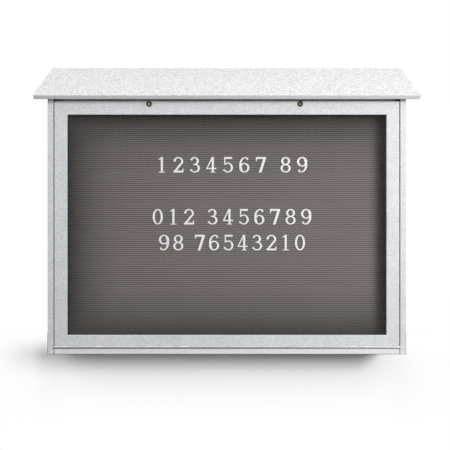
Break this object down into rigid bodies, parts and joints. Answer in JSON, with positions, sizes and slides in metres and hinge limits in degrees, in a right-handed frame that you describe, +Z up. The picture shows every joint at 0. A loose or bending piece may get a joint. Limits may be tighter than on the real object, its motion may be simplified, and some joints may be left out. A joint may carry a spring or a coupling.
{
  "type": "lockable notice board",
  "caption": "Wall-mounted outdoor letter-board cabinet of plastic lumber with a sloping roof and a bottom-hinged, framed window door held by cam locks.",
  "frame": {"origin": "centre of the rectangle of wall-screw holes, on the outer face of the back panel", "axes": "+Z up, +Y towards the wall, the door faces -Y, +X to the right as seen from the front"},
  "size_m": [1.143, 0.1634, 0.902],
  "materials": {
    "board": "pebbled recycled plastic board, pale grey",
    "door_boards": "pebbled recycled plastic board, pale grey",
    "roof": "coarsely pebbled recycled plastic sheet, pale grey",
    "felt": "felt over a grooved panel, dark warm grey",
    "numerals": "moulded plastic, white",
    "pane": "clear acrylic sheet",
    "seal": "foam sealing strip, black",
    "hinge_metal": "mill-finish",
    "lock_brass": "aged brass",
    "lock_steel": "zinc-plated steel",
    "screws": "stainless steel"
  },
  "bodies": {
    "cabinet": {"left_side_board": "board", "right_side_board": "board", "bottom_board": "board", "top_board": "board", "roof_panel": "roof", "back_panel": "board", "upper_mounting_rail": "board", "lower_mounting_rail": "board", "left_board_cleat": "board", "right_board_cleat": "board", "left_roof_cleat": "board", "right_roof_cleat": "board", "left_door_stop": "board", "right_door_stop": "board", "bottom_door_stop": "board", "door_seal": "seal", "letter_board": "felt", "numerals_upper_row": "numerals", "numerals_middle_row": "numerals", "numerals_lower_row": "numerals", "hinge_cabinet_leaf": "hinge_metal", "hinge_pin": "hinge_metal", "hinge_cabinet_screws": "screws", "side_screws": "screws", "back_screws": "screws", "cleat_screws": "screws", "roof_screws": "screws", "letter_board_screws": "screws", "stop_screws": "screws"},
    "door": {"door_top_rail": "door_boards", "door_bottom_rail": "door_boards", "door_left_stile": "door_boards", "door_right_stile": "door_boards", "corner_keys": "board", "window_pane": "pane", "top_glazing_bead": "door_boards", "bottom_glazing_bead": "door_boards", "left_glazing_bead": "door_boards", "right_glazing_bead": "door_boards", "bead_screws": "screws", "hinge_door_leaf": "hinge_metal", "hinge_door_screws": "screws", "left_lock_body": "lock_brass", "right_lock_body": "lock_brass", "lock_nuts": "lock_steel"},
    "left_lock": {"left_lock_plug": "lock_brass", "left_lock_cam": "lock_steel", "left_lock_cam_screw": "lock_steel"},
    "right_lock": {"right_lock_plug": "lock_brass", "right_lock_cam": "lock_steel", "right_lock_cam_screw": "lock_steel"}
  },
  "joints": [
    {"name": "door_hinge", "type": "hinge", "parent": "cabinet", "child": "door", "pos_m": [0, -0.1407, -0.3654], "axis": [1, 0, 0], "range_deg": [0, 180]},
    {"name": "left_lock_turn", "type": "hinge", "parent": "door", "child": "left_lock", "pos_m": [-0.2324, -0.1397, 0.3618], "axis": [0, -1, 0], "range_deg": [0, 90]},
    {"name": "right_lock_turn", "type": "hinge", "parent": "door", "child": "right_lock", "pos_m": [0.2196, -0.1397, 0.3618], "axis": [0, -1, 0], "range_deg": [0, 90]}
  ]
}
